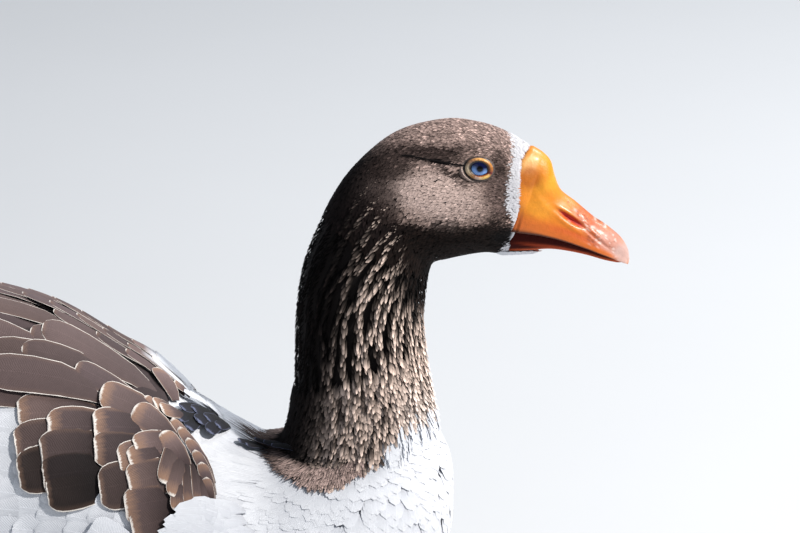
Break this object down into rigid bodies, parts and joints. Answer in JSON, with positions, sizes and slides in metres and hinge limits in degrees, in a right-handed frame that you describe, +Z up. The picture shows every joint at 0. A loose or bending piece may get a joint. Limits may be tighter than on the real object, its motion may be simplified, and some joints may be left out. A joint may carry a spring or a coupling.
{
  "type": "goose",
  "caption": "Still life-size domestic goose with saddleback marking, resting on its belly with feet tucked under and wings folded.",
  "frame": {"origin": "on the floor under the bird, half way between the tip of the bill and the tip of the tail, on the middle plane", "axes": "+X towards the bill, +Y to the bird's left, +Z up from the floor it rests on"},
  "size_m": [0.6631, 0.2221, 0.2879],
  "materials": {
    "white_plumage": "soft matte feathers",
    "brown_plumage": "soft matte feathers",
    "saddle_plumage": "soft matte feathers with pale edges",
    "bill_horn": "smooth satin horn",
    "foot_skin": "fine scales, satin",
    "eye": "wet gloss"
  },
  "bodies": {
    "root": {"torso": "white_plumage", "neck": "brown_plumage", "head": "brown_plumage", "bill_upper": "bill_horn", "bill_lower": "bill_horn", "tail": "white_plumage", "eye_left": "eye", "wing_left": "white_plumage", "saddle_left": "saddle_plumage", "foot_left": "foot_skin", "eye_right": "eye", "wing_right": "white_plumage", "saddle_right": "saddle_plumage", "foot_right": "foot_skin"}
  },
  "joints": []
}
